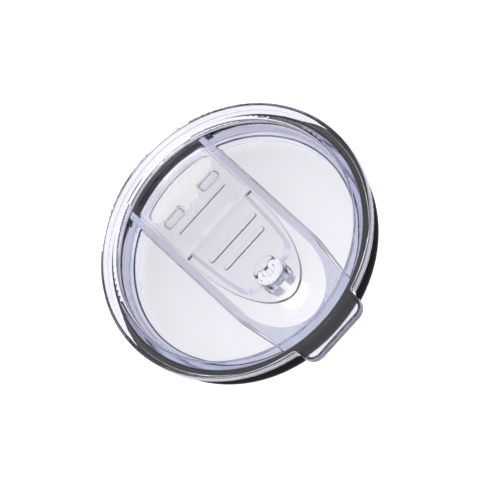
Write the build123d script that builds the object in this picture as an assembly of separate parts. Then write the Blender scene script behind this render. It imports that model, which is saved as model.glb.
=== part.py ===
from build123d import *
import os
from math import sqrt

os.makedirs("parts", exist_ok=True)

# A clear press-in slider lid for an insulated tumbler. Millimetres.
# z = 0 is the plane of the cup's lip, where the flange's underside rests. +Z is up, the thumb tab points
# to -Y, and the drinking side is +Y. The lid's axis is the Z axis.

# ---- driving dimensions -------------------------------------------------------------------------------------

# flange and wall
FLANGE_R = 44.0          # outer radius of the flange
FLANGE_T = 3.75          # flange thickness at its outer edge, and the tab's thickness
EDGE_ROUND = 0.7         # round along the upper edge of flange and tab
UNDER_ROUND = 1.5        # round along the lower edge
RIM_IN_R = 42.2          # the rim and tab are one outline outside this radius
CREST_Z = 4.6            # the flange's top rises inwards, gently domed, to a crest beside the well
DOME_MID_R, DOME_MID_Z = 41.4, 4.35
DOME_ROUND = 16.0
CREST_ROUND = 1.0
WALL_TOP_R = 38.4        # inner wall, where it meets the crest
WALL_FOOT_R = 38.2       # inner wall, at the top of the floor fillet
FLOOR_R = 34.0           # flat part of the moat floor
MOAT_Z = -2.9            # moat floor
MOAT_UNDER_Z = -4.8      # its underside

# plug below the flange
LIP_IN_R = 41.9          # the cup's lip rests on the flange outside this radius; inside it is a relief
LIP_RELIEF = 0.3
GROOVE_R = 40.1          # floor of the gasket groove
GROOVE_FOOT_Z = -8.0     # lower side of the groove
SHELF_R = 40.7           # ring that holds the gasket up
SKIRT_END_Z = -11.8      # lowest point of the lid body
SKIRT_TIP_R = 38.9       # outer radius there
SKIRT_IN_R = 37.4        # inner radius of the skirt

# thumb tab
TAB_W = 24.0
TAB_TIP = 49.2           # distance from the axis to the tab's front edge
TAB_TIP_ROUND = 4.2
TAB_ROOT_ROUND = 2.0

# raised track with the slider's channel in it
TRACK_FAR_HALF = 16.4    # outer half width at the drinking side
TRACK_TOP_Z = 1.1
TRACK_DRAFT = 0.6        # each side leans in by this much from its foot to its top
TRACK_BEND_Y = -16.0     # the sides spread very slightly up to here, then close in
TRACK_BEND_HALF = 16.6
TRACK_END_HALF = 13.6    # outer half width at the tab side of the well
CHANNEL_HALF = 14.4      # inner half width
CHANNEL_FAR_R = 38.35    # the channel's curved end on the drinking side
CHANNEL_Z = -5.2         # channel floor
CHANNEL_UNDER_Z = -7.0   # its underside
CHANNEL_BOW_Y = -16.4    # centre of the half ellipse that closes the channel
CHANNEL_BOW = 19.9       # its long half axis

# drinking opening, and the two stiffening pads under its inner edge
SIP_FAR_R = 36.3
SIP_NEAR_Y = 28.4
SIP_HALF = 12.6
SIP_ROUND = 2.8          # its corners
NOTCH_Y = 25.4           # air notch in the middle of the inner edge
NOTCH_HALF = 2.6
PAD_X0, PAD_X1 = 3.9, 11.2
PAD_T = 1.1
SIP_RECESS_R = 40.0      # shallow step in the crest where the drinker's lip rests
SIP_RECESS_DEG = 20.5
SIP_RECESS_T = 0.45

# slider
TRAVEL = 9.0             # how far it moves towards the tab to open
SLIDER_HALF = 13.9
SLIDER_FAR_R = 37.5
SLIDER_Z = -5.0          # underside, 0.2 above the channel floor
SKID_TOP_Z = -4.0        # thin rim that shows round the nose
PLATE_TOP_Z = -3.1       # main plate
HEAD_TOP_Z = -2.3        # thicker end over the drinking opening
HEAD_END_Y = 13.4        # middle of the ramp from the head down to the plate
RAMP = 2.4
NOSE_Y = 8.8             # centre of the half ellipse of the slider's nose
NOSE = 31.6              # its long half axis
PLATE_HALF = 12.6        # main plate where it leaves the head; the skid shows beside it
PLATE_BEND_Y = -2.0      # from here the plate closes in more quickly
PLATE_BEND_HALF = 11.5
PLATE_END_Y = -12.9      # its rounded end
PLATE_END_HALF = 9.9
PLATE_END_ROUND = 5.5
PLATE_EDGE_W = 1.1       # its edge slopes down over this width
PLATE_EDGE_Z = -3.9      # to here
THUMB_Y, THUMB_W, THUMB_T, THUMB_H = 19.6, 20.0, 1.4, 0.6
RIBS = [(5.6, 20.0), (0.2, 17.2)]  # place along the slider, and length
RIB_T, RIB_H = 1.9, 0.6

# snap stem
STEM_Y = -12.6
BOSS_R, BOSS_TOP_Z = 4.9, -0.5
DIMPLE_R, DIMPLE_DEEP = 5.2, 0.6
NECK_R, NECK_DEEP = 4.3, 6.6       # round neck, flattened to this depth along the travel
LEG_GAP = 2.2
LEG_END_Z = -11.2
BARB_Z, BARB_HALF, BARB_END_Z = -7.15, 5.0, -9.0
SLOT_PLAY = 0.35

# gasket
GASKET_IN_R = 40.12
GASKET_TOP_Z, GASKET_FOOT_Z = 0.2, -7.95
UPPER_LIP_R, UPPER_LIP_Z = 41.2, -2.6
WAIST_R = 40.75
LAND_R, LAND_Z0, LAND_Z1 = 41.7, -7.3, -6.1  # cylindrical land that seals in the cup's mouth


# ---- helpers ------------------------------------------------------------------------------------------------

def turned(points, radii, angle=360.0, start=0.0):
    """A solid of revolution about Z from (radius, z) corners, each rounded by its radius."""
    section = make_face(FilletPolyline(*points, radius=radii, close=True).edges())
    return revolve(Rot(0, 0, start) * (Plane.XZ * section), Axis.Z, angle)


def prism(face, z0, z1):
    """A flat outline carried from one height to another."""
    return Pos(0, 0, z0) * extrude(face, z1 - z0)


def edges_at(solid, z, axis=Axis.Z):
    """The edges that lie wholly in the plane at height z."""
    return solid.edges().filter_by_position(axis, z - 0.01, z + 0.01)


def channel_outline(half, far_r, bow_y, bow):
    """Straight sides, a far end on a circle about the lid's axis, and a half-elliptic near end."""
    far_y = sqrt(far_r**2 - half**2)
    edges = [
        ThreePointArc((-half, far_y), (0, far_r), (half, far_y)),
        Line((half, far_y), (half, bow_y)),
        EllipticalCenterArc((0, bow_y), half, bow, start_angle=180, arc_size=180),
        Line((-half, bow_y), (-half, far_y)),
    ]
    return make_face(edges)


# ---- lid body -----------------------------------------------------------------------------------------------

def make_shell():
    """Flange, wall, moat floor and skirt in one turned section."""
    corners = [
        (0, MOAT_UNDER_Z),
        (SKIRT_IN_R, MOAT_UNDER_Z),
        (SKIRT_IN_R, SKIRT_END_Z),
        (SKIRT_TIP_R, SKIRT_END_Z),
        (SHELF_R, GROOVE_FOOT_Z - 1.6),
        (SHELF_R, GROOVE_FOOT_Z),
        (GROOVE_R, GROOVE_FOOT_Z),
        (GROOVE_R, LIP_RELIEF),
        (LIP_IN_R, LIP_RELIEF),
        (LIP_IN_R, 0),
        (RIM_IN_R, 0),
        (RIM_IN_R, FLANGE_T),
        (FLANGE_R - EDGE_ROUND, FLANGE_T),
        (DOME_MID_R, DOME_MID_Z),
        (WALL_TOP_R, CREST_Z),
        (WALL_FOOT_R, MOAT_Z),
        (0, MOAT_Z),
    ]
    rounds_below = [0, 1.2, 0.5, 0.5, 1.0, 0.3, 0.2, 0.2, 0, 0, 0, 0, 0]
    radii = rounds_below + [DOME_ROUND, CREST_ROUND, WALL_FOOT_R - FLOOR_R, 0]
    return turned(corners, radii)


def make_rim():
    """The outer ring of the flange and the thumb tab as one outline, with hollow corners where they meet."""
    face = Circle(FLANGE_R) + Pos(0, -TAB_TIP / 2) * Rectangle(TAB_W, TAB_TIP)
    face = fillet([v for v in face.vertices() if v.Y < -TAB_TIP + 0.01], TAB_TIP_ROUND)
    roots = [v for v in face.vertices() if abs(abs(v.X) - TAB_W / 2) < 0.01 and v.Y > -FLANGE_R]
    face = fillet(roots, TAB_ROOT_ROUND)
    rim = prism(face, 0, FLANGE_T)
    rim = fillet(edges_at(rim, FLANGE_T), EDGE_ROUND)
    rim = fillet(edges_at(rim, 0), UNDER_ROUND)
    return rim - Cylinder(RIM_IN_R, 20)


def track_outline(z, spread):
    """The track's outline at a height, its sides moved out by the spread."""
    outline = Polyline(
        (-TRACK_FAR_HALF - spread, FLANGE_R),
        (TRACK_FAR_HALF + spread, FLANGE_R),
        (TRACK_BEND_HALF + spread, TRACK_BEND_Y),
        (TRACK_END_HALF + spread, -WALL_FOOT_R),
        (-TRACK_END_HALF - spread, -WALL_FOOT_R),
        (-TRACK_BEND_HALF - spread, TRACK_BEND_Y),
        close=True,
    )
    face = make_face(outline.edges())
    bends = [v for v in face.vertices() if abs(v.Y - TRACK_BEND_Y) < 0.01]
    return Pos(0, 0, z) * fillet(bends, 30)


def make_track():
    """The raised block that carries the channel: nearly parallel sides that close in towards the tab."""
    block = loft([track_outline(CHANNEL_UNDER_Z, TRACK_DRAFT), track_outline(TRACK_TOP_Z, 0)], ruled=True)
    sides = [e for e in block.edges() if abs(e.center().X) > TRACK_END_HALF / 2 and e.length > 5]
    block = fillet([e for e in sides if abs(e.center().Z - TRACK_TOP_Z) < 0.01], 0.6)
    sides = [e for e in block.edges() if abs(e.center().X) > TRACK_END_HALF / 2 and e.length > 5]
    block = fillet([e for e in sides if abs(e.center().Z - CHANNEL_UNDER_Z) < 0.01], 0.8)
    upward = (Align.CENTER, Align.CENTER, Align.MIN)
    above = Pos(0, 0, MOAT_Z) * Cylinder(WALL_FOOT_R + 0.3, 20, align=upward)
    below = Cylinder(SKIRT_IN_R + 0.4, 40)
    return block & (above + below)


def make_sip_opening():
    """The drinking opening with its air notch, as the tool that cuts it."""
    far_y = sqrt(SIP_FAR_R**2 - SIP_HALF**2)
    edges = [
        ThreePointArc((-SIP_HALF, far_y), (0, SIP_FAR_R), (SIP_HALF, far_y)),
        Polyline(
            (SIP_HALF, far_y),
            (SIP_HALF, SIP_NEAR_Y),
            (NOTCH_HALF + 1.3, SIP_NEAR_Y),
            (NOTCH_HALF, NOTCH_Y),
            (-NOTCH_HALF, NOTCH_Y),
            (-NOTCH_HALF - 1.3, SIP_NEAR_Y),
            (-SIP_HALF, SIP_NEAR_Y),
            (-SIP_HALF, far_y),
        ),
    ]
    face = make_face(edges)
    outer = [v for v in face.vertices() if abs(abs(v.X) - SIP_HALF) < 0.01]
    face = fillet(outer, SIP_ROUND)
    inner = [v for v in face.vertices() if abs(v.X) < NOTCH_HALF + 1.4]
    return prism(fillet(inner, 0.8), CHANNEL_UNDER_Z - 3, CHANNEL_Z + 1)


def make_body():
    body = make_shell() + make_rim() + make_track()
    channel = prism(
        channel_outline(CHANNEL_HALF, CHANNEL_FAR_R, CHANNEL_BOW_Y, CHANNEL_BOW), CHANNEL_Z, CREST_Z + 1
    )
    channel = fillet(edges_at(channel, CHANNEL_Z), 0.4)
    body -= channel

    # pads under the floor, one each side of the notch
    pad = Box(PAD_X1 - PAD_X0, SIP_NEAR_Y - NOTCH_Y, PAD_T)
    pad = fillet(pad.edges().filter_by(Axis.Z), 1.2)
    pad = fillet(edges_at(pad, -PAD_T / 2), 0.7)
    for side in (-1, 1):
        pad_x = side * (PAD_X0 + PAD_X1) / 2
        body += Pos(pad_x, (SIP_NEAR_Y + NOTCH_Y) / 2, CHANNEL_UNDER_Z - PAD_T / 2) * pad

    # slot for the snap stem: its section, drawn out by the travel
    slot_w = 2 * (NECK_R + SLOT_PLAY)
    slot_l = NECK_DEEP + TRAVEL + 2 * SLOT_PLAY
    slot = Pos(0, STEM_Y - TRAVEL / 2) * RectangleRounded(slot_w, slot_l, 2.2)
    body -= prism(slot, CHANNEL_UNDER_Z - 3, CHANNEL_Z + 1)
    body -= make_sip_opening()

    # shallow step in the crest at the drinking side
    step = turned(
        [
            (SIP_RECESS_R, CREST_Z - SIP_RECESS_T),
            (SIP_RECESS_R, CREST_Z + 1),
            (WALL_TOP_R - 2, CREST_Z + 1),
            (WALL_TOP_R - 2, CREST_Z - 1.6),
            (WALL_TOP_R, CREST_Z - 1.6),
        ],
        [0.2, 0, 0, 0, 0],
        angle=2 * SIP_RECESS_DEG,
        start=90 - SIP_RECESS_DEG,
    )
    return body - step


# ---- slider -------------------------------------------------------------------------------------------------

def plate_outline(z, inset):
    """The main plate's outline at a height, moved in by the inset."""
    half, bend_half, end_half = PLATE_HALF - inset, PLATE_BEND_HALF - inset, PLATE_END_HALF - inset
    end_y = PLATE_END_Y + inset
    outline = FilletPolyline(
        (-half, HEAD_END_Y + RAMP),
        (-bend_half, PLATE_BEND_Y),
        (-end_half, end_y),
        (end_half, end_y),
        (bend_half, PLATE_BEND_Y),
        (half, HEAD_END_Y + RAMP),
        radius=[0, 30.0, PLATE_END_ROUND, PLATE_END_ROUND, 30.0, 0],
        close=True,
    )
    return Pos(0, 0, z) * make_face(outline.edges())


def make_slider():
    outline = channel_outline(SLIDER_HALF, SLIDER_FAR_R, NOSE_Y, NOSE)
    far_corners = [v for v in outline.vertices() if v.Y > 30]
    outline = fillet(far_corners, 1.8)
    skid = prism(outline, SLIDER_Z, SKID_TOP_Z)
    skid = fillet(edges_at(skid, SKID_TOP_Z), 0.3)

    # main plate, with a rounded near end that stands on the skid and a sloping edge
    envelope = prism(outline, SLIDER_Z, HEAD_TOP_Z)
    edge = loft([plate_outline(PLATE_EDGE_Z, 0), plate_outline(PLATE_TOP_Z, PLATE_EDGE_W)], ruled=True)
    edge = fillet(edges_at(edge, PLATE_TOP_Z), 0.5)
    plate = extrude(plate_outline(SLIDER_Z, 0), PLATE_EDGE_Z - SLIDER_Z) + edge
    plate = plate & envelope

    # head: the profile along the travel, with a ramp down to the plate
    side = FilletPolyline(
        (HEAD_END_Y - RAMP / 2, SLIDER_Z + 0.3),
        (HEAD_END_Y - RAMP / 2, PLATE_TOP_Z - 0.2),
        (HEAD_END_Y + RAMP / 2, HEAD_TOP_Z),
        (FLANGE_R, HEAD_TOP_Z),
        (FLANGE_R, SLIDER_Z + 0.3),
        radius=[0, 1.5, 0, 0, 0],
        close=True,
    )
    profile = Plane.YZ * make_face(side.edges())
    head = extrude(profile, SLIDER_HALF, both=True)
    head = head & fillet(edges_at(envelope, HEAD_TOP_Z), 0.4)

    slider = skid + plate + head

    # thumb ledge: upright towards the tab, sloped on the other side
    ledge = FilletPolyline(
        (THUMB_Y, HEAD_TOP_Z - 0.3),
        (THUMB_Y, HEAD_TOP_Z + THUMB_H),
        (THUMB_Y + 0.5, HEAD_TOP_Z + THUMB_H),
        (THUMB_Y + THUMB_T, HEAD_TOP_Z - 0.3),
        radius=[0.15, 0.2, 0, 0],
        close=True,
    )
    slider += extrude(Plane.YZ * make_face(ledge.edges()), THUMB_W / 2, both=True)

    # grip ribs: low round bars with round ends
    for y, width in RIBS:
        bar = Pos(0, y, PLATE_TOP_Z - 0.3) * Box(
            width, RIB_T, RIB_H + 0.3, align=(Align.CENTER, Align.CENTER, Align.MIN)
        )
        bar = fillet(bar.edges().filter_by(Axis.Z), 0.9)
        slider += fillet(edges_at(bar, PLATE_TOP_Z + RIB_H), 0.55)

    # snap stem: round boss, flattened neck, two barbed legs
    boss = Pos(0, STEM_Y, SLIDER_Z) * Cylinder(
        BOSS_R, BOSS_TOP_Z - SLIDER_Z, align=(Align.CENTER, Align.CENTER, Align.MIN)
    )
    boss = fillet(edges_at(boss, BOSS_TOP_Z), 1.0)
    slider += boss
    slider -= Pos(0, STEM_Y, BOSS_TOP_Z + DIMPLE_R - DIMPLE_DEEP) * Sphere(DIMPLE_R)
    return slider + make_legs()


def make_legs():
    """Two legs cut from one flattened round neck, each with a barb on its outer side."""
    neck = Pos(0, STEM_Y, SLIDER_Z + 0.5) * Cylinder(
        NECK_R, SLIDER_Z + 0.5 - LEG_END_Z, align=(Align.CENTER, Align.CENTER, Align.MAX)
    )
    barb = FilletPolyline(
        (0, BARB_Z),
        (BARB_HALF, BARB_Z),
        (NECK_R - 0.1, BARB_END_Z),
        (NECK_R - 0.1, LEG_END_Z + 0.6),
        (NECK_R - 0.6, LEG_END_Z),
        (0, LEG_END_Z),
        radius=[0, 0.15, 2.0, 0.3, 0.2, 0],
        close=True,
    )
    half = extrude(Plane.XZ.offset(-STEM_Y) * make_face(barb.edges()), NECK_DEEP / 2 - 0.6, both=True)
    stem = neck + half + mirror(half, Plane.YZ)
    stem = stem & (Pos(0, STEM_Y, -8) * Box(3 * NECK_R, NECK_DEEP, 20))
    gap = Pos(0, STEM_Y, SLIDER_Z - 10) * Box(LEG_GAP, 3 * NECK_R, 20)
    return stem - gap


# ---- gasket -------------------------------------------------------------------------------------------------

def make_gasket():
    """Black silicone ring with a small upper lip and a flared lower lip that ends in a short straight land."""
    corners = [
        (GASKET_IN_R, GASKET_FOOT_Z),
        (LAND_R - 0.9, GASKET_FOOT_Z),
        (LAND_R, LAND_Z0),
        (LAND_R, LAND_Z1),
        (WAIST_R, UPPER_LIP_Z - 1.7),
        (UPPER_LIP_R, UPPER_LIP_Z - 0.4),
        (UPPER_LIP_R, UPPER_LIP_Z + 0.3),
        (WAIST_R, GASKET_TOP_Z),
        (GASKET_IN_R, GASKET_TOP_Z),
    ]
    return turned(corners, [0.2, 0.3, 0, 0, 0.6, 0.3, 0.3, 0.2, 0.1])


PARTS = {
    "lid_body": make_body(),
    "slider": make_slider(),
    "gasket": make_gasket(),
}

for name, solid in PARTS.items():
    export_step(solid, f"parts/{name}.step")
    box = solid.bounding_box()
    print(f"{name}: {solid.volume / 1000:.2f} cm3, z {box.min.Z:.2f} to {box.max.Z:.2f}")
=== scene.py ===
import math

import bpy
from mathutils import Matrix, Vector


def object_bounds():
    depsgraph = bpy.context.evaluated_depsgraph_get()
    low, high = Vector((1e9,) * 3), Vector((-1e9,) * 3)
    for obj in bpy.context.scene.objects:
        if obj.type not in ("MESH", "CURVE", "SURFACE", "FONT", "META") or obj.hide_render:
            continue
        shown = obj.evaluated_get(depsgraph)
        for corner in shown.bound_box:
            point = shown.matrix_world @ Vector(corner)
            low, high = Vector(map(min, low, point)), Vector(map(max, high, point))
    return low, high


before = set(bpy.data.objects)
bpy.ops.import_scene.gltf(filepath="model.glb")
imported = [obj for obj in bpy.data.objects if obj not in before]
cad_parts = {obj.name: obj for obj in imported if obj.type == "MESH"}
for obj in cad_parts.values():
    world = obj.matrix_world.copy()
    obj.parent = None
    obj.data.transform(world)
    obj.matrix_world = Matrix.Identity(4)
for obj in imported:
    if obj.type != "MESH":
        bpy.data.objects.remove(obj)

cad_low, cad_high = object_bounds()

MM = 0.001

# ---- camera ---------------------------------------------------------------------------------------------

CAMERA_AZIMUTH = math.radians(0.9)      # the tab side, a little to one side
CAMERA_ELEVATION = math.radians(57.4)
CAMERA_ROLL = math.radians(48.5)        # the lid lies turned in the picture
FIELD = 148.65 * MM                     # width of the picture at the object
AIM_RIGHT, AIM_DOWN = 4.37 * MM, 2.88 * MM   # picture's middle, from the middle of the flange's outer edge
RIM_EDGE_Z = 3.8 * MM                        # height of that edge
CAMERA_DISTANCE = 1.0
CAMERA_REACH = 0.01, 10.0                    # nearest and farthest distances that it draws


def make_camera():
    """A parallel view from the tab side, rolled about its own axis."""
    a, e = CAMERA_AZIMUTH, CAMERA_ELEVATION
    back = Vector((math.sin(a) * math.cos(e), -math.cos(a) * math.cos(e), math.sin(e)))
    level = Vector((math.cos(a), math.sin(a), 0))
    upright = back.cross(level)
    right = level * math.cos(CAMERA_ROLL) - upright * math.sin(CAMERA_ROLL)
    up = level * math.sin(CAMERA_ROLL) + upright * math.cos(CAMERA_ROLL)
    middle = Vector((0, 0, RIM_EDGE_Z))
    place = middle + right * AIM_RIGHT - up * AIM_DOWN + back * CAMERA_DISTANCE
    camera = bpy.data.objects.new("camera", bpy.data.cameras.new("camera"))
    camera.data.type = "ORTHO"
    camera.data.ortho_scale = FIELD
    camera.data.clip_start, camera.data.clip_end = CAMERA_REACH
    camera.matrix_world = Matrix.Translation(place) @ Matrix((right, up, back)).transposed().to_4x4()
    bpy.context.scene.collection.objects.link(camera)
    bpy.context.scene.camera = camera


# ---- materials ------------------------------------------------------------------------------------------

# clear plastic; noise scales are in cells per metre, bump heights in metres
CLEAR_IOR = 1.52
FLOW_STRETCH = (1.0, 0.22, 1.0)         # flow lines run along the slider's travel
FLOW_SCALE, FLOW_DEPTH = 330.0, 0.1 * MM
SINK_SCALE, SINK_DEPTH = 75.0, 0.6 * MM
CLOUD_SCALE = 140.0
HAZE_LOW, HAZE_HIGH = 0.6, 1.5          # shares of the plastic's haze in its clearest and cloudiest spots
TONE_WARM, TONE_COOL = (1.0, 0.985, 1.0), (0.97, 0.975, 1.0)
# how far up a face looks (1 is level) where its painted slope shade starts, and where it is full
LEVEL_FACE, STEEP_FACE = 0.995, 0.87
STEEP_HAZE = 0.4                        # share of the haze on the steep faces

# silicone
SILICONE_IOR, SILICONE_SPECULAR = 1.42, 0.12
GRAIN_SCALE, GRAIN_DEPTH, GRAIN_STRENGTH = 4200.0, 0.02 * MM, 0.5
PATCH_SCALE, PATCH_DEPTH, PATCH_STRENGTH = 260.0, 0.06 * MM, 0.4
SATIN_LOW, SATIN_HIGH = 0.45, 0.75
BLACK_CLEAN, BLACK_DUSTY = (0.004, 0.004, 0.0044), (0.010, 0.010, 0.0108)


def new_material(name):
    material = bpy.data.materials.new(name)
    material.use_nodes = True
    nodes = material.node_tree.nodes
    nodes.clear()
    return material, nodes, material.node_tree.links


def add(nodes, kind, **values):
    """A new node with its sockets and properties set by name."""
    node = nodes.new(kind)
    for key, value in values.items():
        if key.startswith("in_"):
            node.inputs[key[3:].replace("_", " ")].default_value = value
        else:
            setattr(node, key, value)
    return node


def bump_chain(nodes, links, layers):
    """Bumps one after another, from (height socket, depth in metres, strength) layers."""
    normal = None
    for height, depth, strength in layers:
        bump = add(nodes, "ShaderNodeBump", in_Strength=strength, in_Distance=depth)
        links.new(height, bump.inputs["Height"])
        if normal:
            links.new(normal, bump.inputs["Normal"])
        normal = bump.outputs["Normal"]
    return normal


def make_clear(name, tint, density, haze, flow, slope_painted_shade=None):
    """Clear moulded plastic: faint flow lines along the slider's travel, soft sink marks, a little haze.
    Where a painted slope shade is given, sloping and upright faces are tinted with it and are less hazy."""
    material, nodes, links = new_material(name)
    out = add(nodes, "ShaderNodeOutputMaterial")
    shader = add(nodes, "ShaderNodeBsdfPrincipled", in_IOR=CLEAR_IOR)
    shader.inputs["Transmission Weight"].default_value = 1.0
    links.new(shader.outputs["BSDF"], out.inputs["Surface"])
    inside = add(nodes, "ShaderNodeVolumeAbsorption", in_Density=density)
    inside.inputs["Color"].default_value = (*tint, 1)
    links.new(inside.outputs["Volume"], out.inputs["Volume"])

    place = add(nodes, "ShaderNodeTexCoord")
    along = add(nodes, "ShaderNodeMapping", in_Scale=FLOW_STRETCH)
    links.new(place.outputs["Object"], along.inputs["Vector"])
    lines = add(nodes, "ShaderNodeTexNoise", in_Scale=FLOW_SCALE, in_Detail=2.0)
    links.new(along.outputs["Vector"], lines.inputs["Vector"])
    sinks = add(nodes, "ShaderNodeTexNoise", in_Scale=SINK_SCALE, in_Detail=1.0)
    links.new(place.outputs["Object"], sinks.inputs["Vector"])
    layers = [(sinks.outputs["Fac"], SINK_DEPTH, flow), (lines.outputs["Fac"], FLOW_DEPTH, flow)]
    links.new(bump_chain(nodes, links, layers), shader.inputs["Normal"])

    cloud = add(nodes, "ShaderNodeTexNoise", in_Scale=CLOUD_SCALE, in_Detail=4.0)
    links.new(place.outputs["Object"], cloud.inputs["Vector"])
    rough = add(nodes, "ShaderNodeMapRange", in_To_Min=haze * HAZE_LOW, in_To_Max=haze * HAZE_HIGH)
    links.new(cloud.outputs["Fac"], rough.inputs["Value"])
    roughness = rough.outputs["Result"]
    tone = add(nodes, "ShaderNodeMix", data_type="RGBA")
    tone.inputs["A"].default_value = (*TONE_WARM, 1)
    tone.inputs["B"].default_value = (*TONE_COOL, 1)
    links.new(cloud.outputs["Fac"], tone.inputs["Factor"])
    color = tone.outputs["Result"]
    if slope_painted_shade:
        split = add(nodes, "ShaderNodeSeparateXYZ")
        links.new(place.outputs["Normal"], split.inputs["Vector"])
        upward = add(nodes, "ShaderNodeMath", operation="ABSOLUTE")
        links.new(split.outputs["Z"], upward.inputs[0])
        slope = add(nodes, "ShaderNodeMapRange")
        slope.inputs["From Min"].default_value = LEVEL_FACE
        slope.inputs["From Max"].default_value = STEEP_FACE
        links.new(upward.outputs["Value"], slope.inputs["Value"])
        # painted shade: sloping and upright faces are tinted a darker lavender by how far their normal
        # turns from level
        both = add(nodes, "ShaderNodeMix", data_type="RGBA")
        both.inputs["B"].default_value = (*slope_painted_shade, 1)
        links.new(slope.outputs["Result"], both.inputs["Factor"])
        links.new(color, both.inputs["A"])
        color = both.outputs["Result"]
        clearer = add(nodes, "ShaderNodeMapRange", in_To_Min=1.0, in_To_Max=STEEP_HAZE)
        links.new(slope.outputs["Result"], clearer.inputs["Value"])
        share = add(nodes, "ShaderNodeMath", operation="MULTIPLY")
        links.new(roughness, share.inputs[0])
        links.new(clearer.outputs["Result"], share.inputs[1])
        roughness = share.outputs["Value"]
    links.new(roughness, shader.inputs["Roughness"])
    links.new(color, shader.inputs["Base Color"])
    return material


def make_silicone(name):
    """Black food-grade silicone: satin, very finely grained, with a trace of dust."""
    material, nodes, links = new_material(name)
    out = add(nodes, "ShaderNodeOutputMaterial")
    shader = add(nodes, "ShaderNodeBsdfPrincipled", in_IOR=SILICONE_IOR)
    shader.inputs["Specular IOR Level"].default_value = SILICONE_SPECULAR
    links.new(shader.outputs["BSDF"], out.inputs["Surface"])

    place = add(nodes, "ShaderNodeTexCoord")
    grain = add(nodes, "ShaderNodeTexNoise", in_Scale=GRAIN_SCALE, in_Detail=2.0)
    links.new(place.outputs["Object"], grain.inputs["Vector"])
    patches = add(nodes, "ShaderNodeTexNoise", in_Scale=PATCH_SCALE, in_Detail=5.0)
    links.new(place.outputs["Object"], patches.inputs["Vector"])
    layers = [
        (patches.outputs["Fac"], PATCH_DEPTH, PATCH_STRENGTH),
        (grain.outputs["Fac"], GRAIN_DEPTH, GRAIN_STRENGTH),
    ]
    links.new(bump_chain(nodes, links, layers), shader.inputs["Normal"])
    rough = add(nodes, "ShaderNodeMapRange", in_To_Min=SATIN_LOW, in_To_Max=SATIN_HIGH)
    links.new(patches.outputs["Fac"], rough.inputs["Value"])
    links.new(rough.outputs["Result"], shader.inputs["Roughness"])
    dust = add(nodes, "ShaderNodeMix", data_type="RGBA")
    dust.inputs["A"].default_value = (*BLACK_CLEAN, 1)
    dust.inputs["B"].default_value = (*BLACK_DUSTY, 1)
    links.new(patches.outputs["Fac"], dust.inputs["Factor"])
    links.new(dust.outputs["Result"], shader.inputs["Base Color"])
    return material


# ---- stage ----------------------------------------------------------------------------------------------

TABLE_PALE = 0.25       # white paper on a light table, lit from below and above
TABLE_GLOW = 1.02
SHADE_TAB, SHADE_FAR = 0.06, 0.35     # how much the painted shade under the lid weakens the glow, at the tab and opposite
SHADE_RADIUS = 42 * MM
SHADE_INNER = 0.8       # the painted shade is even out to this share of its radius, then fades
FLOOR_HALF = 1.5
# brightness of the sky at heights from the horizon (0) to straight up (1); below the horizon it is white
SKY_STOPS = ((0.0, 1.0), (0.001, 0.12), (0.15, 0.2), (0.35, 0.45), (0.7, 0.55), (1.0, 0.8))
# soft boxes: compass direction from the drinking side, height and half width in degrees, and brightness
SOFT_BOXES = ((205, 62, 24, 4.0), (120, 55, 16, 3.0), (-75, 50, 18, 3.0))
BOX_EDGE = 0.6          # where a soft box's edge has faded in, as a share of its half width


def glow_with_painted_shade(nodes, links):
    """The table's light with a painted shade: weaker where the lid stands on it, and weakest towards the
    drinking side.
    """
    place = add(nodes, "ShaderNodeTexCoord")
    split = add(nodes, "ShaderNodeSeparateXYZ")
    links.new(place.outputs["Object"], split.inputs["Vector"])
    # painted shade: the glow is turned down under the lid, more towards the drinking side than the tab
    under = add(nodes, "ShaderNodeMapRange")
    under.inputs["From Min"].default_value = -SHADE_RADIUS
    under.inputs["From Max"].default_value = SHADE_RADIUS
    under.inputs["To Min"].default_value = TABLE_GLOW * (1 - SHADE_TAB)
    under.inputs["To Max"].default_value = TABLE_GLOW * (1 - SHADE_FAR)
    links.new(split.outputs["Y"], under.inputs["Value"])

    flat = add(nodes, "ShaderNodeVectorMath", operation="MULTIPLY")
    flat.inputs[1].default_value = (1, 1, 0)
    links.new(place.outputs["Object"], flat.inputs[0])
    away = add(nodes, "ShaderNodeVectorMath", operation="LENGTH")
    links.new(flat.outputs["Vector"], away.inputs[0])
    fade = add(nodes, "ShaderNodeMapRange", interpolation_type="SMOOTHSTEP")
    fade.inputs["From Min"].default_value = SHADE_RADIUS * SHADE_INNER
    fade.inputs["From Max"].default_value = SHADE_RADIUS
    fade.inputs["To Max"].default_value = TABLE_GLOW
    links.new(away.outputs["Value"], fade.inputs["Value"])
    links.new(under.outputs["Result"], fade.inputs["To Min"])
    return fade.outputs["Result"]


def make_floor():
    """A wide plane at the lid's foot that shines softly like a light table, with a painted shade under the
    lid.
    """
    half, z = FLOOR_HALF, cad_low.z
    mesh = bpy.data.meshes.new("floor")
    corners = [(-half, -half, z), (half, -half, z), (half, half, z), (-half, half, z)]
    mesh.from_pydata(corners, [], [(0, 1, 2, 3)])
    floor = bpy.data.objects.new("floor", mesh)
    bpy.context.scene.collection.objects.link(floor)
    material, nodes, links = new_material("light_table_with_painted_shade")
    out = add(nodes, "ShaderNodeOutputMaterial")
    paper = add(nodes, "ShaderNodeBsdfDiffuse")
    paper.inputs["Color"].default_value = (TABLE_PALE, TABLE_PALE, TABLE_PALE, 1)
    glow = add(nodes, "ShaderNodeEmission")
    # the table's glow carries the painted shade under the lid
    links.new(glow_with_painted_shade(nodes, links), glow.inputs["Strength"])
    both = add(nodes, "ShaderNodeAddShader")
    links.new(paper.outputs["BSDF"], both.inputs[0])
    links.new(glow.outputs["Emission"], both.inputs[1])
    links.new(both.outputs["Shader"], out.inputs["Surface"])
    mesh.materials.append(material)


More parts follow.
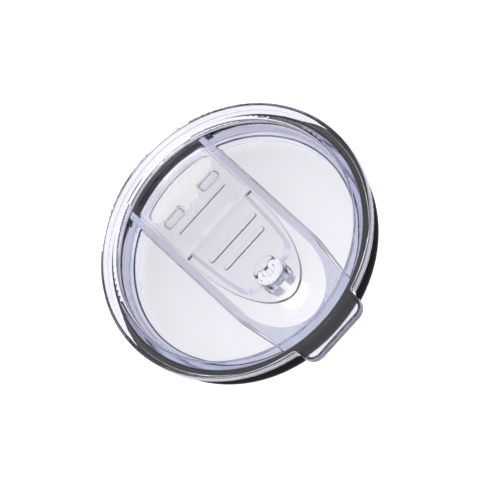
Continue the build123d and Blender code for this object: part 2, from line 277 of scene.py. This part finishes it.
def make_world():
    """A pale sky, darker towards the horizon, with round soft boxes in it."""
    world = bpy.data.worlds.new("studio")
    world.use_nodes = True
    nodes, links = world.node_tree.nodes, world.node_tree.links
    nodes.clear()
    out = add(nodes, "ShaderNodeOutputWorld")
    sky = add(nodes, "ShaderNodeBackground")
    sky.inputs["Color"].default_value = (1, 1, 1, 1)
    links.new(sky.outputs["Background"], out.inputs["Surface"])
    place = add(nodes, "ShaderNodeTexCoord")
    split = add(nodes, "ShaderNodeSeparateXYZ")
    links.new(place.outputs["Generated"], split.inputs["Vector"])
    ramp = add(nodes, "ShaderNodeValToRGB")
    links.new(split.outputs["Z"], ramp.inputs["Fac"])
    stops = ramp.color_ramp.elements
    for height, level in SKY_STOPS:
        stops.new(height).color = (level, level, level, 1)
    stops.remove(stops[0])
    stops.remove(stops[-1])

    total = ramp.outputs["Color"]
    for compass, height, half_width, level in SOFT_BOXES:
        a, e = math.radians(compass), math.radians(height)
        toward = add(nodes, "ShaderNodeVectorMath", operation="DOT_PRODUCT")
        toward.inputs[1].default_value = (math.sin(a) * math.cos(e), math.cos(a) * math.cos(e), math.sin(e))
        links.new(place.outputs["Generated"], toward.inputs[0])
        glow = add(nodes, "ShaderNodeMapRange", interpolation_type="SMOOTHSTEP", in_To_Max=level)
        glow.inputs["From Min"].default_value = math.cos(math.radians(half_width))
        glow.inputs["From Max"].default_value = math.cos(math.radians(half_width * BOX_EDGE))
        links.new(toward.outputs["Value"], glow.inputs["Value"])
        both = add(nodes, "ShaderNodeMath", operation="ADD")
        links.new(total, both.inputs[0])
        links.new(glow.outputs["Result"], both.inputs[1])
        total = both.outputs["Value"]
    links.new(total, sky.inputs["Strength"])
    bpy.context.scene.world = world


# ---- the object's materials -----------------------------------------------------------------------------

clear_body = make_clear("clear_body", tint=(0.20, 0.22, 0.50), density=68.0, haze=0.03, flow=0.5)
# the slider's sloping faces get a painted lavender shade
clear_slider = make_clear(
    "clear_slider", tint=(0.20, 0.22, 0.55), density=4.0, haze=0.20, flow=1.0, slope_painted_shade=(0.66, 0.67, 0.84)
)
silicone = make_silicone("black_silicone")
for node, material in (("lid_body", clear_body), ("slider", clear_slider), ("gasket", silicone)):
    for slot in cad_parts[node].material_slots:
        slot.material = material

make_camera()
make_floor()
make_world()
bpy.context.scene.view_settings.view_transform = "Standard"
